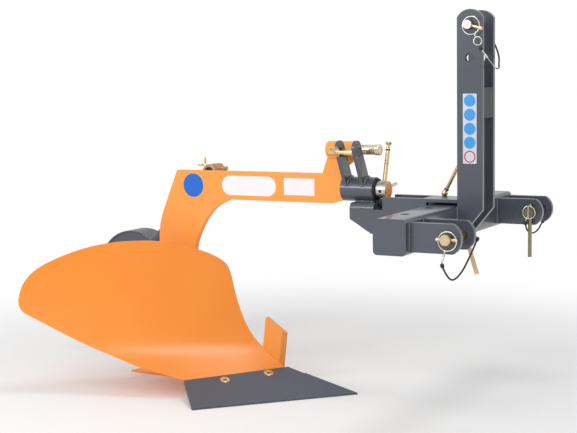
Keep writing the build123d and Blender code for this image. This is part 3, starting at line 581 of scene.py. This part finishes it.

# ---------------------------------------------------------------- clamp at the heel: painted shade in the bore, clamp screw, wing screw
# A dark disc on the arm's end inside the clamp: painted shade for the bore.
piece("wheel_clamp_bore_shade", [turned((-666, 7.1, 513), (0, 1, 0), [(0, 10.2), (0.35, 10.2)], 40)], hole_shadow, "plough")
piece("wheel_clamp_screw", [turned((-650, 32, 520), forward,
                                   [(0, 3.4), (16, 3.4), (16.4, 5.4), (22.4, 5.4), (23, 4.6)], 6)],
      bronze_zinc, "plough", smooth_to=20)
screw_up, screw_side = np.array((-1.0, 0, 1.0)) / math.sqrt(2), np.array((1.0, 0, 1.0)) / math.sqrt(2)
screw_foot = np.array((-666.0, 16.0, 513.0))
wing_shapes = [turned(screw_foot + screw_up * 16, screw_up,
                      [(0, 3.6), (8.0, 3.6), (8.4, 5.4), (14, 4.6), (15.4, 2.8)], 24)]
for side in (-1, 1):
    bend = np.linspace(0, 1, 16)[:, None]
    path = (screw_foot + screw_up * (26 + 13 * bend ** 1.5 + 2.0 * np.sin(math.pi * bend))
            + screw_side * side * (2.0 + 11.5 * np.sin(0.62 * math.pi * bend)))
    wing_shapes.append(piped(path, 2.6 - 0.9 * bend[:, 0] + 0.5 * np.sin(math.pi * bend[:, 0]) ** 8, 12))
piece("wing_screw_body", wing_shapes, yellow_zinc, "plough", ["wing_screw"])

# ---------------------------------------------------------------- beam plate, its fin and the landside
beam_face, beam_thick = -7.5, 15
arch = curve_through([(-598, 448), (-634, 430), (-661, 404), (-683, 370), (-699, 332), (-702, 300)])
heel = curve_through([(-800, 200), (-806, 262), (-808, 320), (-807, 360), (-801, 393), (-787, 430), (-750, 516)])
beam_outline = np.concatenate([
    [(-291.2, 456), (-320, 448)], arch,
    [(-640, 215), (-612, 195), (-600, 108), (-575, 70), (-530, 52), (-470, 44), (-462, 30), (-462, 10), (-780, 10)],
    heel, [(-747, 517), (-345, 517), (-325, 573), (-262, 573), (-262, 550), (-291.2, 528)]])
plate("beam_plate", [beam_outline], beam_face, beam_thick, 1.2, "beam")
fin_outlines = ((-7.4, [(-518, 60), (-504, 165), (-459, 134), (-470, 46)]),
                (7.4, [(-518, 60), (-504, 165), (-452, 130), (-463, 42)]))
fin = np.stack([at(0, y, 0) + np.insert(np.array(outline), 1, 0.0, axis=1) / 1000 for y, outline in fin_outlines])
piece("beam_fin", [capped(fin)], orange_powder_coat, "plough", smooth_to=20)
landside_outline = [(-430, 0), (-462, 12), (-500, 20), (-530, 60), (-810, 60), (-850, 0)]
plate("landside_bar", [landside_outline], 7.5, 10, 1.0, "landside")
sole = np.array([(-430, 7.5), (-850, 7.5), (-876, -14), (-885, -38), (-836, -40.5), (-460, -40.5)])
sole_points = np.stack([at(0, 0, z) + np.insert(sole, 2, 0.0, axis=1) / 1000 for z in (0, 5)])
piece("landside_sole", [capped(sole_points)], orange_powder_coat, "plough", smooth_to=20)

# ---------------------------------------------------------------- weld beads
grey_beads, orange_beads = [], []
bead_wide, bead_high = 7, 3.2
bead_radius, hitch_front = sleeve_radius + 0.4, 0.3
lug_middles, cheek_middles = (-276, -234), (-296, -222, 222, 296)
mast_faces = ((-40, -1), (-28, 1), (28, -1), (40, 1))
for x in lug_middles:
    # Round the sleeve on both sides of a lug, then straight across at the lug's foot.
    theta = np.radians(np.linspace(76, 159, 24))
    arc = np.stack([0 * theta, np.cos(theta), np.sin(theta)], -1)
    for side in (-1, 1):
        path = np.array((x + side * 4.4, 0, shaft_height)) + bead_radius * arc
        grey_beads.append(ripple(path, arc + np.array((side * 1.0, 0, 0)), 6.5, bead_high, 4.5))
    y, z = math.cos(theta[-1]), math.sin(theta[-1])
    ends = [(x + way, bead_radius * y, shaft_height + bead_radius * z) for way in (-6, 6)]
    grey_beads.append(ripple(ends, (0, y, z), 6.5, bead_high))
for y in cheek_middles:
    for side in (-1, 1):
        foot = y + side * 6.3
        grey_beads.append(ripple([(hitch_front, foot, 391), (hitch_front, foot, 449)], (0.7, side * 0.7, 0),
                                 bead_wide, bead_high))
for y, side in mast_faces:
    foot = y + side * 0.3
    grey_beads.append(ripple([(hitch_front, foot, 386), (hitch_front, foot, 455)], (0.7, side * 0.7, 0),
                             bead_wide, bead_high))
for side in (-1, 1):
    grey_beads.append(ripple([(-72.3, side * 40.3, 388), (-72.3, side * 40.3, 456)], (-0.7, side * 0.7, 0),
                             bead_wide, bead_high))
    grey_beads.append(ripple([(-258, side * 11, 456.2), (-210, side * 11, 456.2)], (0, side * 0.8, 0.6),
                             bead_wide, 3.4))
    orange_beads.append(ripple([(-330, side * 8, 555.4), (-263, side * 8, 555.4)], (0, side * 0.7, -0.7),
                               bead_wide, bead_high))
    foot = 7.7 + 5 * (side + 1)
    orange_beads.append(ripple([(-880, foot, 10.4), (-420, foot, 10.4)], (0, side, 0.6), 6, 3.0))
# Round the brace where it meets the beam plate, cut by the plate's face.
angle = np.linspace(0, 2 * math.pi, 30)
foot, wing = np.array((-770.0, beam_face, 120.0)), np.array((-858.0, -236.0, 190.0))
stay, side, across = frame_of(wing - foot)
loop = np.cos(angle)[:, None] * side + np.sin(angle)[:, None] * across
loop_at = foot + 10.4 * loop
loop_at = loop_at + stay * ((-7.8 - loop_at[:, 1]) / stay[1])[:, None]
orange_beads.append(ripple(loop_at, loop + (0, -0.8, 0), 6, 3.0))
piece("headstock_weld_beads", grey_beads, anthracite_weld, "headstock", smooth_to=50)
piece("plough_weld_beads", orange_beads, orange_weld, "plough", smooth_to=50)

# ---------------------------------------------------------------- gauge wheel: a closed steel drum
wheel_lo, wheel_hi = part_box("wheel")
wheel_axle = ((np.array(wheel_lo) + np.array(wheel_hi)) / 2 - shift) * 1000
wheel_half = (wheel_hi[1] - wheel_lo[1]) * 500
drum_radius, groove_depth, groove_width = 105.6, 1.6, 1.6
rim = []
for s in np.linspace(-33, 33, 67):
    groove = sum(math.exp(-((s - g) / groove_width) ** 2) for g in (-24, -12, 0, 12, 24))
    rim.append((s, drum_radius - groove_depth * groove))
drum = ([(-wheel_half, 12.1), (-wheel_half, 21), (-wheel_half + 2, 24), (-31.6, 24), (-31.6, 96), (-33.4, 101),
         (-36.0, 102.0), (-36.4, 103.6), (-35.4, 105.2)] + rim
        + [(35.4, 105.2), (36.4, 103.6), (36.0, 102.0), (33.4, 101), (31.6, 96), (31.6, 24), (wheel_half - 2, 24),
           (wheel_half, 21), (wheel_half, 12.1)])
s, r = np.array(drum).T
angle = full_turn(144)
drum_points = at(*wheel_axle) + np.stack(np.broadcast_arrays(
    r[:, None] * np.cos(angle), s[:, None], r[:, None] * np.sin(angle)), -1) / 1000
drum_shape = (drum_points.reshape(-1, 3), grid_faces(len(s), len(angle), True, True))
piece("wheel_drum", [drum_shape], anthracite_powder_coat, "wheel", ["wheel"], smooth_to=50)

# ---------------------------------------------------------------- share bolts: countersunk heads with a hexagon socket
# The share's face: turned across the way ahead and lifted towards the board.
share_turn, share_lift = math.radians(46), math.radians(20)
along = np.array((-math.cos(share_turn), -math.sin(share_turn), 0))
slope = np.array((-math.sin(share_turn) * math.cos(share_lift), math.cos(share_turn) * math.cos(share_lift),
                  math.sin(share_lift)))
out = np.cross(along, slope)
out = out if out[2] > 0 else -out
bolt_sides = 48
around = full_turn(bolt_sides)
hexagon = 2.9 / np.cos((around + math.pi / 6) % (math.pi / 3) - math.pi / 6)


def bolt_rings(face, rings):
    """A closed shape square to the share: each pair (s, r) is a ring of radius r, s above the middle of the face."""
    spokes = np.cos(around)[:, None] * along + np.sin(around)[:, None] * slope
    points = np.stack([face + s * out + np.broadcast_to(r, bolt_sides)[:, None] * spokes for s, r in rings])
    return capped(shift + points / 1000)


for name in ("front", "rear"):
    low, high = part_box("share_bolt_" + name)
    face = ((np.array(low) + np.array(high)) / 2 - shift) * 1000 + out * 4.5
    head = bolt_rings(face, [(-3.0, 9.2), (0.1, 11.4), (0.7, 11.6), (1.2, 10.6), (1.3, 7.2), (0.9, 4.6),
                             (0.7, hexagon), (-2.6, hexagon * 0.98)])
    piece("share_bolt_" + name + "_head", [head], yellow_zinc, "plough", ["share_bolt_" + name],
          smooth_to=35)
    # A nearly black floor in the hexagon socket: painted shade.
    socket = bolt_rings(face, [(-2.6, hexagon * 0.9), (-1.9, hexagon * 0.9)])
    piece("share_bolt_" + name + "_socket_shade", [socket], hole_shadow, "plough")

# ---------------------------------------------------------------- plain films on the beam and mast
film_side, film_rise = (1, 0, 0), (0, 0, 1)
film_sides, mast_face, film_x = 64, -40, 29.5
film_angle = full_turn(film_sides)
disc = np.stack([np.cos(film_angle), np.sin(film_angle)], -1)
films = [
    ("beam_disc_film", 29 * disc, (-702, beam_face, 480), blue_vinyl, "plough", "orange_paint"),
    ("beam_pill_film", rounded(150, 47, 23.4), (-544, beam_face, 482.5), white_vinyl, "plough", "orange_paint"),
    ("beam_plate_film", rounded(81, 40, 1), (-406.5, beam_face, 484), white_vinyl, "plough", "orange_paint"),
    ("mast_strip_film", rounded(31, 150, 1), (film_x, mast_face, 624), pale_vinyl, "headstock", "grey_paint"),
]
for name, outline, origin, film, body, slot in films:
    piece(name, [slab(outline, origin, film_side, film_rise, 0.25)], film, body, smooth_to=20)
for k in range(4):
    middle = (film_x, mast_face - 0.25, 684 - 30 * k)
    piece("mast_disc_film_%d" % k, [slab(13 * disc, middle, film_side, film_rise, 0.2)], sky_vinyl, "headstock",
          smooth_to=20)
ring = np.stack([at(film_x, y, 564) + r * np.insert(disc, 1, 0.0, axis=1) / 1000
                 for y, r in ((-40.2, 13), (-40.5, 13), (-40.5, 10.4), (-40.2, 10.4))])
piece("mast_ring_film", [(ring.reshape(-1, 3), grid_faces(4, film_sides, True, True))], red_vinyl, "headstock",
      smooth_to=20)

# ---------------------------------------------------------------- the solids that stay, with rounded edges
rounding_mm = {"share": 0.6, "moldboard": 0.0, "saddle": 2.5, "hitch_beam": 0.0, "lug_front": 1.2, "lug_rear": 1.2,
               "mast_right": 1.2, "mast_left": 1.2, "mast_spacer": 2.2, "cheek_right_outer": 1.2,
               "cheek_right_inner": 1.2, "cheek_left_inner": 1.2, "cheek_left_outer": 1.2, "wheel_clamp": 1.2,
               "wheel_collar_inner": 1.0, "wheel_collar_outer": 1.0, "lower_pin_right": 0.8, "lower_pin_left": 0.8,
               "top_pin": 0.8, "wheel_arm": 0.6, "brace": 0.4}
# Solids whose finish is not the usual one of their slot.
own_finish = {"moldboard": orange_baked, "mast_spacer": anthracite_spacer_shade, "share": anthracite_baked,
              "lower_pin_right": rose_zinc, "lower_pin_left": shaded_yellow_zinc, "top_pin": bright_wire,
              "wheel_clamp": bronze_zinc, "wheel_arm": anthracite_powder_coat}
for node, rounding in rounding_mm.items():
    # The board is curved all over, so it has no flats to merge.
    softened(node, rounding, own_finish.get(node), merge_flats=node != "moldboard")
for node, obj in nodes.items():
    if obj.type == "MESH":
        obj.data.materials.clear()
        obj.data.materials.append(own_finish.get(node, coats[slot_of[node]]))

# ---------------------------------------------------------------- floor, white surroundings, lamps
# The floor is a disc: rings of these radii, in metres, joined to each other, with the innermost one filled.
floor_sides, floor_radii = 96, np.array((0.6, 1.2, 2.0, 4.0, 12.0))
angle = full_turn(floor_sides)
floor_points = floor_radii[:, None, None] * np.stack([np.cos(angle), np.sin(angle), 0 * angle], -1)[None]
floor_mesh = bpy.data.meshes.new("floor")
floor_mesh.from_pydata(floor_points.reshape(-1, 3).tolist(), [],
                       [list(range(floor_sides))] + grid_faces(len(floor_radii), floor_sides, close_columns=True))
floor = bpy.data.objects.new("floor", floor_mesh)
floor.data.materials.append(studio_floor())
bpy.context.collection.objects.link(floor)

# The room is white where it is seen straight or through something, dimmer as light on matt surfaces, and in
# between as what glossy ones mirror.
matt_light, mirror_extra = 0.56, 0.22
world = bpy.data.worlds.new("white_room")
bpy.context.scene.world = world
world.use_nodes = True
tree = world.node_tree
path = add(tree, "ShaderNodeLightPath")
seen = add(tree, "ShaderNodeMath", {"operation": "MAXIMUM"},
           {0: path.outputs["Is Camera Ray"], 1: path.outputs["Is Transmission Ray"]})
room = add(tree, "ShaderNodeMapRange", {"To Min": matt_light, "To Max": 1.0}, {"Value": seen.outputs[0]})
room = add(tree, "ShaderNodeMath", {"operation": "MULTIPLY_ADD", 1: mirror_extra},
           {0: path.outputs["Is Glossy Ray"], 2: room.outputs["Result"]})
tree.nodes["Background"].inputs["Color"].default_value = linear("#FFFFFF")
tree.links.new(room.outputs[0], tree.nodes["Background"].inputs["Strength"])

lamps = [
    # name, place in metres of the model, width, height, watts
    ("key", (0.0, -2.6, 2.8), 2.0, 2.0, 25.5),
    ("overhead", (0.65, -0.1, 2.9), 0.8, 0.8, 13),
    ("side", (-1.1, -2.35, 1.4), 0.9, 0.6, 16),
    ("fill", (2.8, -0.6, 1.6), 2.0, 2.0, 2),
]
aimed_at = Vector((0, 0, 0.4))
for name, spot, wide, tall, watts in lamps:
    lamp = bpy.data.lights.new(name, "AREA")
    lamp.shape = "RECTANGLE"
    lamp.size = wide
    lamp.size_y = tall
    lamp.energy = watts
    holder = bpy.data.objects.new(name, lamp)
    aim = (aimed_at - Vector(spot)).to_track_quat("-Z", "Y")
    holder.matrix_world = Matrix.Translation(spot) @ aim.to_matrix().to_4x4()
    bpy.context.collection.objects.link(holder)
